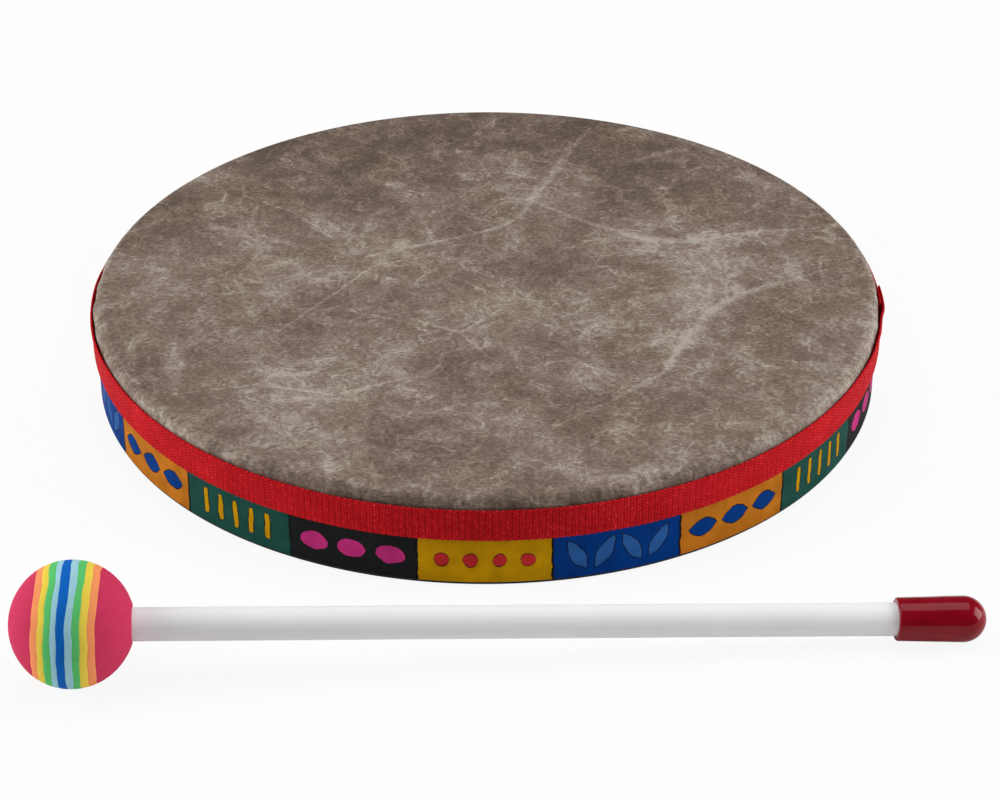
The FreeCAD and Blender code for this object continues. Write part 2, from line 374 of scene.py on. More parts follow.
# ---------------------------------------------------------------- the shell
def make_shell(material):
    """The wound fibre hoop: rounded bearing edge, chamfer inside it, eased foot."""
    bm = wire(
        [
            (SHELL_INNER, 0.0, 0.3 * MM, 3),
            (SHELL_RADIUS, 0.0, 0.8 * MM, 5),
            (SHELL_RADIUS, SHELL_TOP, 2.5 * MM, 8),
            (SHELL_INNER + 1.0 * MM, SHELL_TOP),
            (SHELL_INNER, SHELL_TOP - 1.0 * MM),
            (SHELL_INNER, 0.0),
        ],
        longest=4 * MM,
    )
    bmesh.ops.remove_doubles(bm, verts=bm.verts[:], dist=1e-7)
    turn(bm, 720)
    return piece(bm, "wound_shell", material, "drum", "black_fibre", "shell")


# ---------------------------------------------------------------- the mallet
BALL_SHEETS = [
    "01_pink", "02_orange", "03_yellow", "04_green", "05_pale_blue", "06_blue",
    "07_pale_blue", "08_green", "09_yellow", "10_orange", "11_pink",
]
FOAM_FACES = [-10.85, -8.9, -7.1, -5.05, -3.45, -1.0, 1.05, 3.2, 5.3, 7.35]  # mm from the ball's centre

ball_boxes = [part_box(f"ball_disc_{name}") for name in BALL_SHEETS]
ball_low = Vector([min(box[0][axis] for box in ball_boxes) for axis in range(3)])
ball_high = Vector([max(box[1][axis] for box in ball_boxes) for axis in range(3)])
BALL_CENTRE = (ball_low + ball_high) / 2
BALL_RADIUS = (ball_high.z - ball_low.z) / 2
tube_low, tube_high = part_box("handle_tube")
TUBE_CENTRE = (tube_low + tube_high) / 2
HANDLE_WAY = (TUBE_CENTRE - BALL_CENTRE).normalized()
LYING = Matrix.Translation(BALL_CENTRE) @ HANDLE_WAY.to_track_quat("Z", "Y").to_matrix().to_4x4()

TUBE_RADIUS = 4.75 * MM
TUBE_BORE = TUBE_RADIUS - 1.5 * MM
TUBE_START = -3.0 * MM
TUBE_END = 2 * (TUBE_CENTRE - BALL_CENTRE).length - TUBE_START
BORE_RADIUS = 4.9 * MM
BORE_START = -3.40 * MM


def seam_wave(seam, angle):
    """How far a glued face of the foam wanders along the axis: the sheets aren't quite flat."""
    place = Vector((math.cos(angle), math.sin(angle), 0))
    bow = 1.4 * max(0.0, math.cos(angle - math.radians(60)))
    quick = noise.noise(place * 2.2 + Vector((0.0, 7.0, seam * 0.55)))
    ripple = noise.noise(place * 6.5 + Vector((3.0, 1.0, seam * 1.7)))
    return (bow + 0.42 * quick + 0.13 * ripple) * MM


def make_disc(number, name, material):
    """One foam sheet of the ball: its ground skin, its two glued faces and the handle's bore."""
    first = FOAM_FACES[number - 1] * MM if number else None
    last = FOAM_FACES[number] * MM if number < len(FOAM_FACES) else None
    bored = last is None or last > BORE_START
    low_angle = math.asin(first / BALL_RADIUS) if number else -math.pi / 2
    mouth = math.acos(BORE_RADIUS / BALL_RADIUS)
    high_angle = math.asin(last / BALL_RADIUS) if last is not None else mouth
    bm = bmesh.new()
    start = bm.verts.new((BALL_RADIUS * math.cos(low_angle), 0, BALL_RADIUS * math.sin(low_angle)))
    steps = max(8, round((high_angle - low_angle) * BALL_RADIUS / (0.26 * MM)))
    bmesh.ops.spin(bm, geom=[start], cent=(0, 0, 0), axis=(0, -1, 0),
                   angle=high_angle - low_angle, steps=steps)
    bm.verts.ensure_lookup_table()
    top = max(bm.verts, key=lambda v: v.co.z)
    inner = []
    if bored:
        if last is not None:
            inner.append((BORE_RADIUS, last))
        if first > BORE_START:
            inner.append((BORE_RADIUS, first))
        else:
            inner += [(BORE_RADIUS, BORE_START), (0.0, BORE_START), (0.0, first)]
    else:
        inner.append((0.0, last))
        if number:
            inner.append((0.0, first))
    chain = [top] + [bm.verts.new((r, 0, z)) for r, z in inner]
    for before, after in zip(chain, chain[1:]):
        bm.edges.new((before, after))
    if number:
        bm.edges.new((chain[-1], start))
    turn(bm, 160)
    for vert in bm.verts:
        radius = math.hypot(vert.co.x, vert.co.y)
        angle = azimuth(vert.co)
        height = vert.co.z
        on_skin = abs(math.hypot(radius, height) - BALL_RADIUS) < 1e-6
        near_first = abs(height - first) if number else 1.0
        near_last = abs(height - last) if last is not None else 1.0
        if number and last is not None:
            share = (height - first) / (last - first)
            wave = (1 - share) * seam_wave(number, angle) + share * seam_wave(number + 1, angle)
        elif number:
            wave = seam_wave(number, angle) * (1 - ease(height, first, first + 6 * MM))
        else:
            wave = seam_wave(1, angle) * ease(height, last - 6 * MM, last)
        vert.co.z = height + wave * ease(radius, 5.5 * MM, 9 * MM)
        if on_skin:
            new_radius = math.sqrt(max(BALL_RADIUS ** 2 - vert.co.z ** 2, 0.0))
            lump = 0.05 * MM * (1 + noise.noise(vert.co * 160))
            groove = 0.06 * MM * math.exp(-((min(near_first, near_last) / (0.16 * MM)) ** 2))
            scale = (1 - (lump + groove) / BALL_RADIUS) * (new_radius / radius if radius > 1e-6 else 1)
            if last is None and vert.co.z > 0:
                dimple = 1 - ease(radius, BORE_RADIUS, BORE_RADIUS + 1.0 * MM)
                vert.co.z -= 0.35 * MM * dimple * dimple
            vert.co.x *= scale
            vert.co.y *= scale
    # ground a little short along the handle
    bmesh.ops.scale(bm, vec=(0.989, 0.989, 0.962), verts=bm.verts[:])
    bmesh.ops.translate(bm, vec=(0, 0.15 * MM, 0.1 * MM), verts=bm.verts[:])
    bmesh.ops.transform(bm, matrix=LYING, verts=bm.verts[:])
    nodes = [f"ball_disc_{name}"] + (["ball_adhesive"] if last is None else [])
    disc = piece(bm, f"foam_{name}", material, "mallet", "foam_" + name[3:], *nodes)
    return disc


def make_tube(material):
    """The drawn plastic tube, its two cut ends eased."""
    bm = wire(
        [
            (TUBE_BORE, TUBE_START),
            (TUBE_RADIUS, TUBE_START, 0.25 * MM, 3),
            (TUBE_RADIUS, TUBE_END, 0.25 * MM, 3),
            (TUBE_BORE, TUBE_END),
            (TUBE_BORE, TUBE_START),
        ],
        longest=12 * MM,
    )
    bmesh.ops.remove_doubles(bm, verts=bm.verts[:], dist=1e-7)
    turn(bm, 128)
    along = bm.verts.layers.float_vector.new("tube")
    for vert in bm.verts:
        vert[along] = vert.co.copy()
    bmesh.ops.transform(bm, matrix=LYING, verts=bm.verts[:])
    return piece(bm, "handle", material, "mallet", "white_plastic", "handle_tube")


def make_cap(material):
    """The dipped vinyl cap: rounded lip, a wall that thickens towards its domed end."""
    bore = TUBE_RADIUS + 0.05 * MM
    mouth_radius = 6.2 * MM
    dome_radius = 6.65 * MM
    mouth = TUBE_END + dome_radius - 26.1 * MM
    bm = bmesh.new()
    rim = bm.verts.new((dome_radius, 0, TUBE_END))
    bmesh.ops.spin(bm, geom=[rim], cent=(0, 0, TUBE_END), axis=(0, -1, 0), angle=math.pi / 2, steps=24)
    floor_rim = bm.verts.new((bore, 0, TUBE_END))
    bmesh.ops.spin(bm, geom=[floor_rim], cent=(0, 0, TUBE_END), axis=(0, -1, 0),
                   angle=math.pi / 2, steps=12)
    lip_out = bm.verts.new((mouth_radius, 0, mouth))
    lip_in = bm.verts.new((bore, 0, mouth))
    bm.edges.new((rim, lip_out))
    bm.edges.new((lip_out, lip_in))
    bm.edges.new((lip_in, floor_rim))
    bmesh.ops.bevel(bm, geom=[lip_out], offset=0.55 * MM, segments=8, profile=0.5,
                    affect="VERTICES", material=-1)
    for edge in list(bm.edges):
        cuts = math.ceil(edge.calc_length() / (1.2 * MM)) - 1
        if cuts > 0:
            bmesh.ops.subdivide_edges(bm, edges=[edge], cuts=cuts)
    turn(bm, 160)
    for vert in bm.verts:
        radius = math.hypot(vert.co.x, vert.co.y)
        if radius > bore + 0.6 * MM and vert.co.z < TUBE_END + 3 * MM:
            swell = 0.045 * MM * noise.noise(vert.co * 210)
            vert.co.x *= 1 + swell / radius
            vert.co.y *= 1 + swell / radius
    bmesh.ops.transform(bm, matrix=LYING, verts=bm.verts[:])
    return piece(bm, "grip", material, "mallet", "red_vinyl", "grip_cap")


# ---------------------------------------------------------------- materials of the drum
def felted_film():
    """Polyester film faced with felted synthetic fibre, calendered smooth.

    Cloudy brown-grey with paler tufts, strands and creases, and a satin sheen.
    """
    material, tree = material_tree("felted_fibre_film")
    film = node(tree, "Attribute", attribute_name="film").outputs["Vector"]
    sheet = node(tree, "VectorMath", {0: film, "Scale": 1000.0}, operation="SCALE")
    # the fibre mat was dragged about as it was laid, by a few millimetres
    drift = node(tree, "TexNoise", {"Vector": sheet, "Scale": 1 / 9, "Detail": 3.0, "Roughness": 0.6})
    felt = nudged(tree, sheet, drift, (11.0, 8.0, 0.0))

    # clouds 45 mm across, tufts 11 mm across with ragged edges, and 1 mm grain
    clouds = node(tree, "TexNoise", {"Vector": sheet, "Scale": 1 / 45, "Detail": 2.0, "Roughness": 0.5})
    even = node(tree, "Mapping", {"Vector": felt, "Scale": (0.9, 0.9, 1.0), "Location": (31, 7, 0)})
    tufts = node(tree, "TexNoise",
                 {"Vector": even, "Scale": 1 / 11, "Detail": 6.0, "Roughness": 0.66, "Distortion": 0.3})
    grain = node(tree, "Mapping", {"Vector": sheet, "Scale": (0.7, 1.1, 1.0)})
    grain = node(tree, "TexNoise", {"Vector": grain, "Scale": 1.0, "Detail": 2.0, "Roughness": 0.65})

    # a tangle of thin lines along the middle of a noise, thickest where the tufts are pale
    gathered = node(tree, "MapRange", {"Value": tufts, "From Min": 0.4, "From Max": 0.56, "To Min": 0.15})
    flat = node(tree, "Mapping", {"Vector": felt, "Scale": (1.0, 0.75, 1.0)})
    tangles = []
    for size, sharp in ((5.0, 0.07), (2.6, 0.11)):
        line = node(tree, "TexNoise",
                    {"Vector": flat, "Scale": 1 / size, "Detail": 2.0, "Roughness": 0.6, "Distortion": 0.6})
        line = node(tree, "Math", {0: line, 1: 0.5}, operation="SUBTRACT")
        line = node(tree, "Math", {0: line}, operation="ABSOLUTE")
        line = node(tree, "MapRange",
                    {"Value": line, "From Min": 0.0, "From Max": sharp, "To Min": 1.0, "To Max": 0.0})
        tangles.append(line)
    tangle = node(tree, "Math", {0: combined(tree, tangles, "ADD"), 1: gathered}, operation="MULTIPLY")

    # tufts of hairs 1 mm wide and 6 mm long, each tuft combed one of five ways
    hairs = []
    for slant, seed in ((8, 3), (44, 11), (80, 23), (116, 37), (152, 51)):
        hair = node(tree, "Mapping",
                    {"Vector": flat, "Rotation": (0, 0, math.radians(-slant)), "Location": (seed, seed, 0)})
        hair = node(tree, "Mapping", {"Vector": hair, "Scale": (1 / 6, 1.0, 1.0)})
        hair = node(tree, "TexNoise",
                    {"Vector": hair, "Scale": 1.0, "Detail": 2.0, "Roughness": 0.6, "Distortion": 0.5})
        hair = node(tree, "MapRange", {"Value": hair, "From Min": 0.5, "From Max": 0.68})
        where = node(tree, "Mapping", {"Vector": sheet, "Location": (seed, -seed, 0)})
        where = node(tree, "TexNoise", {"Vector": where, "Scale": 1 / 9, "Detail": 3.0, "Roughness": 0.6})
        where = node(tree, "MapRange", {"Value": where, "From Min": 0.46, "From Max": 0.6})
        hair = node(tree, "Math", {0: hair, 1: where}, operation="MULTIPLY")
        hairs.append(hair)
    strands = combined(tree, hairs, "ADD")

    # the mat lies thinner, paler and more dragged about in four places
    spots = []
    for x, y, reach in ((-48, -72, 50), (72, 14, 52), (18, 74, 34), (-66, -2, 24)):
        gap = node(tree, "VectorMath", {0: felt, 1: (x, y, 0)}, operation="DISTANCE").outputs["Value"]
        spots.append(node(tree, "MapRange",
                          {"Value": gap, "From Min": 0.0, "From Max": reach, "To Min": 1.0, "To Max": 0.0},
                          interpolation_type="SMOOTHSTEP"))
    thin = combined(tree, spots, "MAXIMUM")

    # long bundles of fibre that follow the contours of a slow noise, each a comb of thin lines
    bundles = []
    combs = []
    for size, seed, wide in ((60.0, 5, 0.065), (40.0, 71, 0.06), (50.0, 133, 0.06), (32.0, 191, 0.05)):
        slow = node(tree, "Mapping", {"Vector": felt, "Location": (seed, 2 * seed, 0)})
        slow = node(tree, "TexNoise",
                    {"Vector": slow, "Scale": 1 / size, "Detail": 2.0, "Roughness": 0.5, "Distortion": 0.7})
        bundle = node(tree, "Math", {0: slow, 1: 0.5}, operation="SUBTRACT")
        bundle = node(tree, "Math", {0: bundle}, operation="ABSOLUTE")
        bundle = node(tree, "MapRange",
                      {"Value": bundle, "From Min": 0.0, "From Max": wide, "To Min": 1.0, "To Max": 0.0})
        where = node(tree, "Mapping", {"Vector": sheet, "Location": (-seed, seed, 0)})
        where = node(tree, "TexNoise", {"Vector": where, "Scale": 1 / 24, "Detail": 3.0, "Roughness": 0.6})
        where = node(tree, "Math", {0: thin, 1: 0.09, 2: where}, operation="MULTIPLY_ADD")
        where = node(tree, "MapRange", {"Value": where, "From Min": 0.43, "From Max": 0.6})
        bundle = node(tree, "Math", {0: bundle, 1: where}, operation="MULTIPLY")
        level = node(tree, "Math", {0: slow, 1: 60.0}, operation="MULTIPLY")
        level = node(tree, "CombineXYZ", {2: level})
        comb = node(tree, "VectorMath", {0: felt, "Scale": 1 / 12}, operation="SCALE")
        comb = node(tree, "VectorMath", {0: comb, 1: level}, operation="ADD")
        comb = node(tree, "TexNoise", {"Vector": comb, "Scale": 1.0, "Detail": 3.0, "Roughness": 0.65})
        comb = node(tree, "MapRange", {"Value": comb, "From Min": 0.47, "From Max": 0.66})
        bundles.append(bundle)
        combs.append(node(tree, "Math", {0: comb, 1: bundle}, operation="MULTIPLY"))
    bundles = combined(tree, bundles, "MAXIMUM")
    combs = combined(tree, combs, "MAXIMUM")
    # the film is made darker towards the back
    across = node(tree, "SeparateXYZ", {0: sheet}).outputs["Y"]
    darker_to_the_back = node(tree, "MapRange", {"Value": across, "From Min": 10.0, "From Max": 115.0},
                   interpolation_type="SMOOTHSTEP")

    creases = film_creases(tree, sheet)
    edge, edge_painted_light, combed = film_edge(tree, sheet)
    layers = [node(tree, "Math", {0: clouds, 1: 0.6, 2: 0.25}, operation="MULTIPLY_ADD")]
    # the bearing edge's tone among these layers is painted light at its sides and painted shade at its front
    for layer, weight, middle in (
        (tufts, 0.14, 0.5), (tangle, 0.16, 0.4), (strands, 0.15, 0.5), (grain, 0.92, 0.5),
        (thin, 0.09, 0.3), (bundles, 0.15, 0.3), (combs, 0.36, 0.2), (darker_to_the_back, -0.19, 0.4), (creases, 0.3, 0.0),
        (edge_painted_light, 1.0, 0.0), (combed, 0.9, 0.0),
    ):
        weighed = {0: layer, 1: weight, 2: -weight * middle}
        layers.append(node(tree, "Math", weighed, operation="MULTIPLY_ADD"))
    greys = colour_bands(tree, combined(tree, layers, "ADD"), [
        (0.0, "#4B3F37"), (0.3, "#67584E"), (0.52, "#7D6C61"), (0.72, "#918378"), (1.0, "#AEA499"),
    ])
    # faint olive and plum casts, 34 mm across, and a greener edge
    cast = node(tree, "TexNoise", {"Vector": felt, "Scale": 1 / 34, "Detail": 3.0})
    olive = node(tree, "MapRange", {"Value": cast, "From Min": 0.52, "From Max": 0.72, "To Max": 0.35})
    plum = node(tree, "MapRange", {"Value": cast, "From Min": 0.48, "From Max": 0.3, "To Max": 0.3})
    green = node(tree, "Math", {0: edge, 1: 0.1}, operation="MULTIPLY")
    tinted = greys
    for share, colour in ((olive, "#EFE8C8"), (plum, "#F2E2E4"), (green, "#E8ECE0")):
        tinted = node(tree, "Mix", {0: share, 6: tinted, 7: linear(colour)},
                      data_type="RGBA", blend_type="MULTIPLY")
    rough = node(tree, "MapRange",
                 {"Value": tufts, "From Min": 0.3, "From Max": 0.7, "To Min": 0.62, "To Max": 0.5})
    relief = node(tree, "Math", {0: strands, 1: 0.4, 2: grain}, operation="MULTIPLY_ADD")
    finish_material(tree, tinted, {"Roughness": rough, "Specular IOR Level": 0.2}, relief, 0.05 * MM)
    return material


# Long pale creases where the fibre bunched as it was laid: points (mm) and half widths (mm).
CREASES = [
    [(112, 8, 0.4), (96, -1, 0.7), (82, -9, 1.2), (72, -19, 1.7), (66, -30, 1.8), (61, -42, 1.5),
     (56, -56, 1.0), (46, -66, 0.6), (38, -74, 0.45), (30, -80, 0.4), (21, -88, 0.35)],
    [(37, 112, 0.6), (29, 95, 1.1), (21, 72, 1.3), (15, 56, 1.2), (11, 44, 0.9), (2, 36, 0.7),
     (-14, 28, 0.8), (-26, 23, 0.6), (-40, 17, 0.4)],
    [(16, 56, 0.7), (27, 46, 0.8), (38, 38, 1.0), (52, 30, 1.3), (66, 27, 1.2), (86, 33, 0.8),
     (112, 37, 0.5)],
    [(-24, -24, 0.24), (-8, -33, 0.66), (5, -18, 0.24)],
    [(-8, -33, 0.54), (1, -48, 0.24)],
    [(-66, -32, 0.24), (-48, -6, 0.54), (-38, 10, 0.3), (-14, 20, 0.24)],
    [(-96, -70, 0.24), (-70, -64, 0.54), (-46, -70, 0.6), (-24, -60, 0.3)],
    [(-84, 60, 0.24), (-66, 48, 0.48), (-52, 30, 0.3)],
]


def crease_group():
    """How much a point lies on one straight run of a crease: 1 on its line, 0 at its half width."""
    tree = bpy.data.node_groups.new("crease_run", "ShaderNodeTree")
    for name in ("Point", "Start", "End"):
        tree.interface.new_socket(name, in_out="INPUT", socket_type="NodeSocketVector")
    tree.interface.new_socket("Half Width", in_out="INPUT", socket_type="NodeSocketFloat")
    tree.interface.new_socket("Share", in_out="OUTPUT", socket_type="NodeSocketFloat")
    given = tree.nodes.new("NodeGroupInput").outputs
    run = node(tree, "VectorMath", {0: given["End"], 1: given["Start"]}, operation="SUBTRACT")
    away = node(tree, "VectorMath", {0: given["Point"], 1: given["Start"]}, operation="SUBTRACT")
    along = node(tree, "VectorMath", {0: away, 1: run}, operation="DOT_PRODUCT").outputs["Value"]
    whole = node(tree, "VectorMath", {0: run, 1: run}, operation="DOT_PRODUCT").outputs["Value"]
    share = node(tree, "Math", {0: along, 1: whole}, operation="DIVIDE", use_clamp=True)
    nearest = node(tree, "VectorMath", {0: run, "Scale": share}, operation="SCALE")
    gap = node(tree, "VectorMath", {0: away, 1: nearest}, operation="DISTANCE").outputs["Value"]
    fade = node(tree, "MapRange",
                {"Value": gap, "From Max": given["Half Width"], "To Min": 1.0, "To Max": 0.0},
                interpolation_type="SMOOTHSTEP")
    node(tree, "NodeGroupOutput", {"Share": fade})
    return tree


def film_edge(tree, sheet):
    """Over the bearing edge: how far round it, painted light and shade on it with a painted highlight along its
    fold, and fibre combed down the side.
    """
    reach = node(tree, "VectorMath", {0: sheet}, operation="LENGTH").outputs["Value"]
    outward = node(tree, "VectorMath", {0: sheet}, operation="NORMALIZE")
    edge = node(tree, "MapRange", {"Value": reach, "From Min": 124.4, "From Max": 127.0},
                interpolation_type="SMOOTHSTEP")
    # hairs 2 mm apart and 6 mm long, straight down over the edge
    parts = node(tree, "SeparateXYZ", {0: outward})
    round_edge = node(tree, "VectorMath", {0: outward, "Scale": 127.0}, operation="SCALE")
    down = node(tree, "Math", {0: reach, 1: 0.3}, operation="MULTIPLY")
    down = node(tree, "CombineXYZ", {2: down})
    hairs = node(tree, "VectorMath", {0: round_edge, 1: down}, operation="ADD")
    hairs = node(tree, "TexNoise", {"Vector": hairs, "Scale": 0.5, "Detail": 3.0, "Roughness": 0.6})
    hairs = node(tree, "Math", {0: hairs, 1: 0.5}, operation="SUBTRACT")
    over = node(tree, "MapRange", {"Value": reach, "From Min": 121.5, "From Max": 126.0},
                interpolation_type="SMOOTHSTEP")
    combed = node(tree, "Math", {0: hairs, 1: over}, operation="MULTIPLY")
    # painted light: at both sides of the front the edge is painted paler and keeps a faint broken painted
    # highlight along its fold line, and at the front it is painted darker as shade
    sideways = node(tree, "Math", {0: parts.outputs["X"]}, operation="ABSOLUTE")
    sideways = node(tree, "MapRange", {"Value": sideways, "From Min": 0.45, "From Max": 0.8})
    tone = node(tree, "Math", {0: sideways, 1: 0.27, 2: -0.13}, operation="MULTIPLY_ADD")
    tone = node(tree, "Math", {0: tone, 1: edge}, operation="MULTIPLY")
    fold_highlight = node(tree, "Math", {0: reach, 1: 124.8}, operation="SUBTRACT")
    fold_highlight = node(tree, "Math", {0: hairs, 1: 1.5, 2: fold_highlight}, operation="MULTIPLY_ADD")
    fold_highlight = node(tree, "Math", {0: fold_highlight}, operation="ABSOLUTE")
    fold_highlight = node(tree, "MapRange",
                {"Value": fold_highlight, "From Min": 0.0, "From Max": 1.1, "To Min": 0.15, "To Max": 0.0})
    frontal = node(tree, "MapRange", {"Value": parts.outputs["Y"], "From Min": 0.0, "From Max": -0.25})
    frontal = node(tree, "Math", {0: frontal, 1: sideways}, operation="MULTIPLY")
    tone = node(tree, "Math", {0: fold_highlight, 1: frontal, 2: tone}, operation="MULTIPLY_ADD")
    return edge, tone, combed


def film_creases(tree, sheet):
    """All the creases together, frayed like the felt."""
    group = crease_group()
    fray = node(tree, "TexNoise", {"Vector": sheet, "Scale": 0.45, "Detail": 3.0, "Roughness": 0.7})
    point = nudged(tree, sheet, fray, (2.4, 2.4, 2.4))
    runs = []
    for crease in CREASES:
        for start, end in zip(crease, crease[1:]):
            run = node(tree, "Group", {}, node_tree=group)
            tree.links.new(point.outputs[0], run.inputs["Point"])
            run.inputs["Start"].default_value = (start[0], start[1], 0)
            run.inputs["End"].default_value = (end[0], end[1], 0)
            run.inputs["Half Width"].default_value = 1.1 * (start[2] + end[2])
            runs.append(run)
    thin = node(tree, "MapRange", {"Value": fray, "From Min": 0.35, "From Max": 0.6, "To Min": 0.65})
    return node(tree, "Math", {0: combined(tree, runs, "MAXIMUM"), 1: thin}, operation="MULTIPLY")


def woven_webbing():
    """Polyester webbing woven with a ribbed face and dyed red.

    Columns of short floats, painted paler on their crests as highlight and darker red in the valleys between
    them as shade, a few with a painted glint, and a dry sheen.
    """
    material, tree = material_tree("woven_polyester_webbing")
    weave = node(tree, "Attribute", attribute_name="weave").outputs["Vector"]
    stray = node(tree, "TexNoise", {"Vector": weave, "Scale": 420.0, "Detail": 1.0})
    place = nudged(tree, weave, stray, (0.5 * MM, 0.5 * MM, 0.5 * MM))
    parts = node(tree, "SeparateXYZ", {0: place})
    # two rows of floats lie side by side on each rib
    column = node(tree, "Math", {0: parts.outputs["X"], 1: COLUMN / 2}, operation="DIVIDE")
    rib_number = node(tree, "Math", {0: column}, operation="FLOOR")
    in_rib = node(tree, "Math", {0: column}, operation="FRACT")
    # the floats of a rib lean one way and those of the next the other, half a row apart
    side = node(tree, "Math", {0: rib_number, 1: 2.0}, operation="FLOORED_MODULO")
    side = node(tree, "Math", {0: side, 1: 0.6, 2: -0.25}, operation="MULTIPLY_ADD")
    lean = node(tree, "Math", {0: in_rib, 1: -0.5}, operation="ADD")
    lean = node(tree, "Math", {0: lean, 1: side}, operation="MULTIPLY")
    shift = node(tree, "Math", {0: rib_number, 1: 0.5, 2: lean}, operation="MULTIPLY_ADD")
    row = node(tree, "Math", {0: parts.outputs["Y"], 1: ROW}, operation="DIVIDE")
    row = node(tree, "Math", {0: row, 1: shift}, operation="ADD")
    float_number = node(tree, "Math", {0: row}, operation="FLOOR")
    in_row = node(tree, "Math", {0: row}, operation="FRACT")
    arches = []
    for share, blunt in ((in_rib, 0.6), (in_row, 1.0)):
        turned = node(tree, "Math", {0: share, 1: math.pi}, operation="MULTIPLY")
        crest = node(tree, "Math", {0: turned}, operation="SINE")
        arches.append(node(tree, "Math", {0: crest, 1: blunt}, operation="POWER"))
    dashes = node(tree, "Math", {0: arches[1], 1: 0.7, 2: 0.3}, operation="MULTIPLY_ADD")
    whole = node(tree, "Math", {0: parts.outputs["X"], 1: math.pi / COLUMN}, operation="MULTIPLY")
    whole = node(tree, "Math", {0: whole}, operation="SINE")
    whole = node(tree, "Math", {0: whole}, operation="ABSOLUTE")
    ribs = node(tree, "Math", {0: whole, 1: 0.3, 2: 0.2}, operation="MULTIPLY_ADD")
    ribs = node(tree, "Math", {0: arches[0], 1: 0.5, 2: ribs}, operation="MULTIPLY_ADD")
    height = node(tree, "Math", {0: ribs, 1: dashes}, operation="MULTIPLY")
    own = node(tree, "CombineXYZ", {0: rib_number, 1: float_number})
    own = node(tree, "TexWhiteNoise", {"Vector": own}, noise_dimensions="2D").outputs["Value"]
    # painted glint: a quarter of the floats, picked at random, are painted brighter
    painted_glint = node(tree, "MapRange", {"Value": own, "From Min": 0.75, "From Max": 1.0, "To Max": 0.2})
    float_tone_and_glint = node(tree, "Math", {0: own, 1: 0.2, 2: painted_glint}, operation="MULTIPLY_ADD")
    broad = node(tree, "TexNoise", {"Vector": weave, "Scale": 55.0, "Detail": 2.0})
    broad = node(tree, "Math", {0: broad, 1: 0.4, 2: -0.2}, operation="MULTIPLY_ADD")
    float_tone_and_glint = node(tree, "Math", {0: float_tone_and_glint, 1: height, 2: broad}, operation="MULTIPLY_ADD")
    # painted light: the red follows the weave's relief, darker in its valleys as painted shade and paler on its
    # crests as painted highlight
    tone = node(tree, "Math", {0: height, 1: 0.56, 2: float_tone_and_glint}, operation="MULTIPLY_ADD")
    red = colour_bands(tree, tone, [
        (0.0, "#7C0409"), (0.3, "#AF1018"), (0.55, "#CF1821"), (0.8, "#DA2731"), (1.0, "#E2525C"),
    ])
    # separate filaments in each float, drawn coarser than the real 0.03 mm so that they show
    strands = node(tree, "Mapping", {"Vector": place, "Scale": (1.0, 6.0, 1.0)})
    strands = node(tree, "TexNoise", {"Vector": strands, "Scale": 1300.0, "Detail": 1.0})
    relief = node(tree, "Math", {0: strands, 1: 0.16, 2: height}, operation="MULTIPLY_ADD")
    finish_material(tree, red, {"Roughness": 0.65, "Specular IOR Level": 0.05}, relief, 0.2 * MM)
    return material


# ---------------------------------------------------------------- the print
PRINT_REPEAT = FULL_TURN * WRAP_RADIUS / MM / 4  # mm: the border comes four times round the shell
PRINT_MIDDLE = 9.0  # mm above the shell's foot

INKS = {
    "black": "#1E2021", "blue": "#023881", "sky": "#2B5C9C", "teal": "#1D4B43", "yellow": "#BE8E05",
    "orange": "#B9701C", "magenta": "#BC3078", "red": "#BE2C2E",
}

# A plain border of five equal panels, each with an even row of one simple shape: ground, ink of
# the shapes, how many, spacing (mm), turn (degrees, every other one mirrored), half length, half
# width (mm), how blunt (1 lens, 0.5 oval, 0.12 block).
PANELS = [
    ("teal", "yellow", 5, 6.0, 90, 4.5, 0.9, 0.12),
    ("black", "magenta", 3, 12.0, 0, 4.4, 3.2, 0.5),
    ("yellow", "red", 4, 8.5, 0, 2.2, 2.2, 0.5),
    ("blue", "sky", 4, 8.5, 60, 6.0, 2.2, 1),
    ("orange", "blue", 3, 12.0, 0, 5.0, 3.0, 1),
]


def border_shapes():
    """Every shape of the border in the order it is laid: ink, place, turn and size."""
    panel = PRINT_REPEAT / len(PANELS)
    shapes = []
    for number, row in enumerate(PANELS):
        ground, ink, count, spacing, turned, half_length, half_width, blunt = row
        centre = (number - (len(PANELS) - 1) / 2) * panel
        shapes.append((ground, centre, 90, 60, panel / 2 - 0.3, 0.12))
        for step in range(count):
            across = centre + (step - (count - 1) / 2) * spacing
            shapes.append((ink, across, turned if step % 2 else -turned, half_length, half_width, blunt))
    return shapes


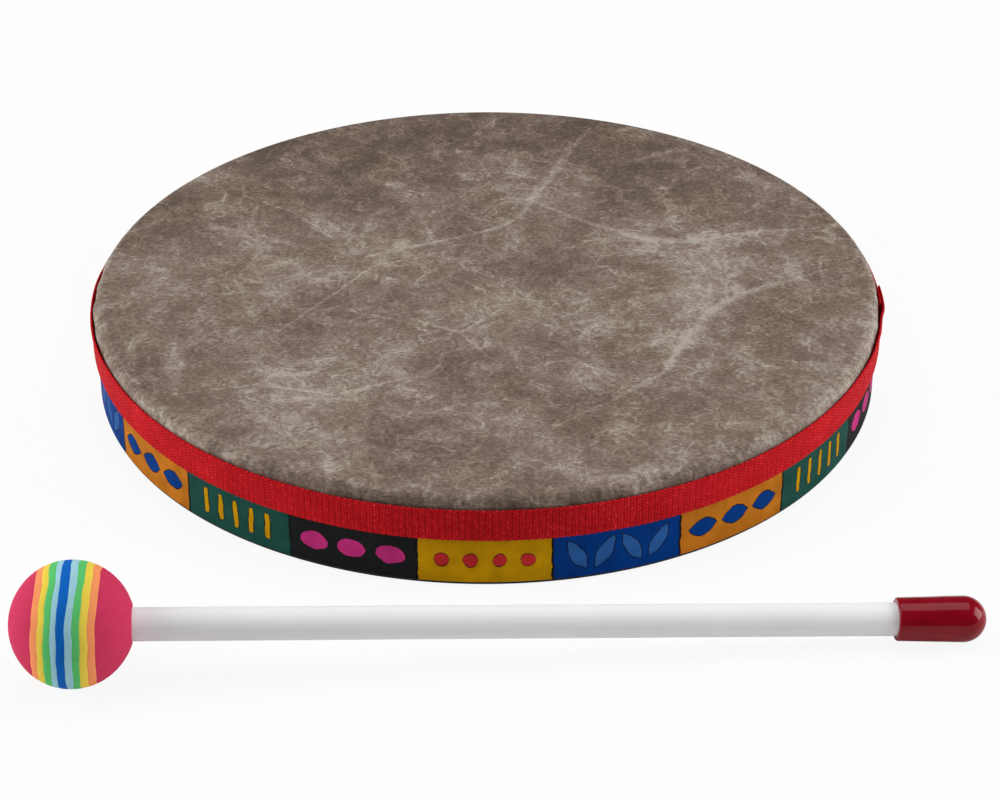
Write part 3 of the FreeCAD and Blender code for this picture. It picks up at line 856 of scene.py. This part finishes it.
def shape_group():
    """One printed shape: an oval, lens or block, turned, with a thin inked outline."""
    tree = bpy.data.node_groups.new("printed_shape", "ShaderNodeTree")
    for name, kind in (("Point", "Vector"), ("Place", "Vector"), ("Turn", "Vector"),
                       ("Half Length", "Float"), ("Half Width", "Float"), ("Blunt", "Float")):
        tree.interface.new_socket(name, in_out="INPUT", socket_type="NodeSocket" + kind)
    for name in ("Fill", "Outline"):
        tree.interface.new_socket(name, in_out="OUTPUT", socket_type="NodeSocketFloat")
    given = tree.nodes.new("NodeGroupInput").outputs
    local = node(tree, "Mapping",
                 {"Vector": given["Point"], "Location": given["Place"], "Rotation": given["Turn"]},
                 vector_type="TEXTURE")
    parts = node(tree, "SeparateXYZ", {0: local})
    across = node(tree, "Math", {0: parts.outputs["Y"]}, operation="ABSOLUTE")
    share = node(tree, "Math", {0: parts.outputs["X"], 1: given["Half Length"]}, operation="DIVIDE")
    share = node(tree, "Math", {0: share}, operation="ABSOLUTE")
    beyond = node(tree, "Math", {0: share, 1: -1.0}, operation="ADD")
    beyond = node(tree, "Math", {0: beyond, 1: 0.0}, operation="MAXIMUM")
    beyond = node(tree, "Math", {0: beyond, 1: given["Half Length"]}, operation="MULTIPLY")
    inside = node(tree, "Math", {0: share, 1: share}, operation="MULTIPLY")
    inside = node(tree, "Math", {0: 1.0, 1: inside}, operation="SUBTRACT", use_clamp=True)
    inside = node(tree, "Math", {0: inside, 1: given["Blunt"]}, operation="POWER")
    depth = node(tree, "Math", {0: inside, 1: given["Half Width"]}, operation="MULTIPLY")
    depth = node(tree, "Math", {0: depth, 1: across}, operation="SUBTRACT")
    depth = node(tree, "Math", {0: depth, 1: beyond}, operation="SUBTRACT")
    fill = node(tree, "MapRange", {"Value": depth, "From Min": 0.0, "From Max": 0.12})
    line = node(tree, "MapRange", {"Value": depth, "From Min": -0.36, "From Max": -0.22})
    node(tree, "NodeGroupOutput", {"Fill": fill, "Outline": line})
    return tree


def printed_film():
    """Vinyl film printed with flat poster colours, glossy and thin.

    Plain coloured panels, each with an even row of one simple shape outlined in black.
    """
    material, tree = material_tree("printed_vinyl_film")
    sheet = node(tree, "Attribute", attribute_name="sheet").outputs["Vector"]
    flat = node(tree, "VectorMath", {0: sheet, "Scale": 1000.0}, operation="SCALE")
    # the hand-drawn edges wander by 0.3 mm
    wander = node(tree, "TexNoise", {"Vector": flat, "Scale": 0.22, "Detail": 2.0})
    flat = nudged(tree, flat, wander, (1.6, 1.6, 1.6))
    parts = node(tree, "SeparateXYZ", {0: flat})
    across = node(tree, "Math",
                  {0: parts.outputs["X"], 1: PRINT_REPEAT / 2, 2: -PRINT_REPEAT / 2}, operation="WRAP")
    point = node(tree, "CombineXYZ", {0: across, 1: parts.outputs["Y"]})
    group = shape_group()
    colour = linear(INKS["black"])
    for ink, along, turned, half_length, half_width, blunt in border_shapes():
        shape = node(tree, "Group", node_tree=group)
        tree.links.new(point.outputs[0], shape.inputs["Point"])
        shape.inputs["Place"].default_value = (along, PRINT_MIDDLE, 0)
        shape.inputs["Turn"].default_value = (0, 0, math.radians(turned))
        shape.inputs["Half Length"].default_value = half_length
        shape.inputs["Half Width"].default_value = half_width
        shape.inputs["Blunt"].default_value = blunt
        for share, laid in (("Outline", "#17181A"), ("Fill", INKS[ink])):
            colour = node(tree, "Mix",
                          {0: shape.outputs[share], 6: colour, 7: linear(laid)}, data_type="RGBA")
    # brushed ink: soft lighter and darker strokes 7 mm wide
    strokes = node(tree, "TexNoise", {"Vector": flat, "Scale": 1 / 7, "Detail": 3.0})
    strokes = node(tree, "MapRange",
                   {"Value": strokes, "From Min": 0.3, "From Max": 0.7, "To Min": 0.78, "To Max": 1.12})
    strokes = node(tree, "CombineColor", {0: strokes, 1: strokes, 2: strokes})
    colour = node(tree, "Mix", {0: 1.0, 6: colour, 7: strokes}, data_type="RGBA", blend_type="MULTIPLY")
    ripple = node(tree, "TexNoise", {"Vector": flat, "Scale": 1 / 5, "Detail": 2.0})
    finish_material(tree, colour, {"Roughness": 0.5, "Specular IOR Level": 0.02}, ripple, 0.05 * MM)
    return material


def wound_fibre():
    """Fibreboard wound from glued paper and coated black.

    Nearly black and dull, with faint lines along the winding.
    """
    material, tree = material_tree("wound_fibreboard")
    place = node(tree, "TexCoord").outputs["Object"]
    plies = node(tree, "Mapping", {"Vector": place, "Scale": (1.0, 1.0, 14.0)})
    plies = node(tree, "TexNoise", {"Vector": plies, "Scale": 120.0, "Detail": 3.0, "Roughness": 0.6})
    grain = node(tree, "TexNoise", {"Vector": place, "Scale": 900.0, "Detail": 2.0})
    tone = node(tree, "Math", {0: plies, 1: 0.6}, operation="MULTIPLY")
    tone = node(tree, "Math", {0: grain, 1: 0.4, 2: tone}, operation="MULTIPLY_ADD")
    dark = colour_bands(tree, tone, [(0.3, "#161617"), (0.55, "#212122"), (0.8, "#343332")])
    rough = node(tree, "MapRange", {"Value": grain, "To Min": 0.5, "To Max": 0.75})
    finish_material(tree, dark, {"Roughness": rough, "Specular IOR Level": 0.35}, tone, 0.12 * MM)
    return material


# ---------------------------------------------------------------- materials of the mallet
FOAM_COLOURS = {
    "pink": "#CA345A", "orange": "#F89760", "yellow": "#EED24C",
    "green": "#5CC66E", "pale_blue": "#9FD0DF", "blue": "#0063C0",
}


def cut_foam(name, colour):
    """Closed-cell EVA foam, dyed through and ground round.

    Chalky and matt, with pin pores of about half a millimetre, their middles painted darker as shade, and a
    powdery edge.
    """
    material, tree = material_tree(f"ground_foam_{name}")
    place = node(tree, "TexCoord").outputs["Object"]
    pores = node(tree, "TexVoronoi", {"Vector": place, "Scale": 1 / (0.75 * MM), "Randomness": 1.0})
    pore_relief_and_shade = node(tree, "MapRange", {"Value": pores.outputs["Distance"], "From Min": 0.05, "From Max": 0.38})
    rub = node(tree, "TexNoise", {"Vector": place, "Scale": 240.0, "Detail": 3.0, "Roughness": 0.6})
    fine = node(tree, "TexNoise", {"Vector": place, "Scale": 1600.0, "Detail": 1.0})
    tone = node(tree, "Math", {0: rub, 1: 0.55}, operation="MULTIPLY")
    tone = node(tree, "Math", {0: fine, 1: 0.3, 2: tone}, operation="MULTIPLY_ADD")
    # painted shade: the tone is lowered towards the middle of each pore
    tone = node(tree, "Math", {0: pore_relief_and_shade, 1: 0.15, 2: tone}, operation="MULTIPLY_ADD")
    bright = node(tree, "MapRange",
                  {"Value": tone, "From Min": 0.3, "From Max": 0.75, "To Min": 0.9, "To Max": 1.06})
    bright = node(tree, "CombineColor", {0: bright, 1: bright, 2: bright})
    dyed = node(tree, "Mix", {0: 1.0, 6: linear(colour), 7: bright},
                data_type="RGBA", blend_type="MULTIPLY")
    relief = node(tree, "Math", {0: pore_relief_and_shade, 1: 0.8, 2: fine}, operation="MULTIPLY_ADD")
    finish_material(tree, dyed, {"Roughness": 0.9, "Specular IOR Level": 0.17}, relief, 0.06 * MM)
    return material


def drawn_plastic():
    """White polypropylene, extruded as a tube and sized through a die.

    Soft satin white with faint draw lines along it and a little light carried inside.
    """
    material, tree = material_tree("extruded_polypropylene")
    place = node(tree, "Attribute", attribute_name="tube").outputs["Vector"]
    lines = node(tree, "Mapping", {"Vector": place, "Scale": (1.0, 1.0, 0.012)})
    lines = node(tree, "TexNoise", {"Vector": lines, "Scale": 1500.0, "Detail": 2.0})
    cloud = node(tree, "TexNoise", {"Vector": place, "Scale": 60.0, "Detail": 2.0})
    tone = node(tree, "Math", {0: lines, 1: 0.5}, operation="MULTIPLY")
    tone = node(tree, "Math", {0: cloud, 1: 0.5, 2: tone}, operation="MULTIPLY_ADD")
    white = colour_bands(tree, tone, [(0.3, "#EFEEF0"), (0.7, "#F6F5F7")])
    rough = node(tree, "MapRange", {"Value": cloud, "To Min": 0.36, "To Max": 0.48})
    finish_material(tree, white, {"Roughness": rough, "Specular IOR Level": 0.1, "Subsurface Weight": 0.15,
                                  "Subsurface Radius": (1.0, 1.0, 1.0), "Subsurface Scale": 2 * MM},
                    lines, 0.02 * MM)
    return material


def dipped_vinyl():
    """PVC plastisol, dipped on a form and fused: deep red, glossy, softly uneven."""
    material, tree = material_tree("dipped_vinyl")
    place = node(tree, "TexCoord").outputs["Object"]
    flow = node(tree, "TexNoise", {"Vector": place, "Scale": 130.0, "Detail": 1.5})
    specks = node(tree, "TexNoise", {"Vector": place, "Scale": 900.0, "Detail": 1.0})
    red = colour_bands(tree, flow, [(0.3, "#7E0012"), (0.7, "#8E0318")])
    rough = node(tree, "MapRange", {"Value": specks, "To Min": 0.1, "To Max": 0.18})
    finish_material(tree, red, {"Roughness": rough, "IOR": 1.53, "Specular IOR Level": 0.2},
                    flow, 0.06 * MM)
    return material


def cured_glue(name, low, high):
    """Contact cement, brushed on and dried: slightly streaky and clear; the copy under the band is dark red,
    painted as the webbing's shaded inside where it shows in the gap.
    """
    material, tree = material_tree(name)
    place = node(tree, "TexCoord").outputs["Object"]
    streaks = node(tree, "TexNoise", {"Vector": place, "Scale": 300.0, "Detail": 3.0})
    amber = colour_bands(tree, streaks, [(0.3, low), (0.7, high)])
    finish_material(tree, amber, {"Roughness": 0.35}, streaks, 0.05 * MM)
    return material


# ---------------------------------------------------------------- floor, light and world
def make_floor():
    """A plain pale table top, seen as white where no shadow falls."""
    bm = bmesh.new()
    bmesh.ops.create_grid(bm, x_segments=1, y_segments=1, size=6.0)
    mesh = bpy.data.meshes.new("floor")
    bm.to_mesh(mesh)
    bm.free()
    floor = bpy.data.objects.new("floor", mesh)
    bpy.context.scene.collection.objects.link(floor)
    floor.location.z = -0.05 * MM
    material, tree = material_tree("pale_table")
    ray = node(tree, "LightPath")
    seen = node(tree, "Math",
                {0: ray.outputs["Is Camera Ray"], 1: ray.outputs["Is Transmission Ray"]}, operation="MAXIMUM")
    share = node(tree, "Math", {0: seen, 1: 0.9}, operation="MULTIPLY")
    matt = node(tree, "BsdfDiffuse", {"Color": linear("#F4F4F4")})
    glow = node(tree, "Emission", {"Color": (1, 1, 1, 1), "Strength": 1.0})
    mixed = node(tree, "MixShader", {0: share, 1: matt, 2: glow})
    node(tree, "OutputMaterial", {"Surface": mixed})
    mesh.materials.append(material)


def soft_box(name, place, towards, width, height, power):
    """A large rectangular lamp, aimed at a point."""
    lamp = bpy.data.lights.new(name, "AREA")
    lamp.shape = "RECTANGLE"
    lamp.size = width
    lamp.size_y = height
    lamp.energy = power
    made = bpy.data.objects.new(name, lamp)
    made.location = place
    made.rotation_euler = (Vector(towards) - Vector(place)).to_track_quat("-Z", "Y").to_euler()
    bpy.context.scene.collection.objects.link(made)


def make_light():
    """One box overhead and a little behind, one at each side, and a pale room."""
    soft_box("overhead_box", (0.0, 0.12, 1.15), (0, -0.05, 0), 1.3, 0.9, 7.5)
    soft_box("left_box", (-1.2, -0.14, 0.46), (0, -0.05, 0.02), 0.8, 0.8, 12)
    soft_box("right_box", (1.2, -0.10, 0.46), (0, -0.05, 0.02), 0.8, 0.8, 12)
    world = bpy.data.worlds.new("room")
    bpy.context.scene.world = world
    world.use_nodes = True
    tree = world.node_tree
    tree.nodes.clear()
    ray = node(tree, "LightPath")
    seen = node(tree, "Math",
                {0: ray.outputs["Is Camera Ray"], 1: ray.outputs["Is Transmission Ray"]}, operation="MAXIMUM")
    room = node(tree, "Background", {"Color": linear("#F2F3F5"), "Strength": 0.14})
    white = node(tree, "Background", {"Color": (1, 1, 1, 1), "Strength": 1.0})
    mixed = node(tree, "MixShader", {0: seen, 1: room, 2: white})
    node(tree, "OutputWorld", {"Surface": mixed})


# ---------------------------------------------------------------- everything together
make_camera()
make_floor()
make_light()
make_head(felted_film())
make_band(woven_webbing())
make_wrap(printed_film())
make_shell(wound_fibre())
foams = {name: cut_foam(name, colour) for name, colour in FOAM_COLOURS.items()}
for number, name in enumerate(BALL_SHEETS):
    make_disc(number, name, foams[name[3:]])
make_tube(drawn_plastic())
make_cap(dipped_vinyl())
clear_glue = cured_glue("dried_contact_cement", "#B9A788", "#D2C4A8")
# dark red as painted shade: this glue shows in the gap at the band's top edge and stands for the webbing's
# inside in shadow
glue_painted_as_shaded_webbing = cured_glue("cement_painted_as_shaded_webbing", "#7A0F18", "#8E1620")
for name, glue in (("head_adhesive", clear_glue), ("band_adhesive", glue_painted_as_shaded_webbing)):
    for slot in frame["nodes"][name].material_slots:
        slot.material = glue

scene = bpy.context.scene
scene.view_settings.view_transform = "Standard"
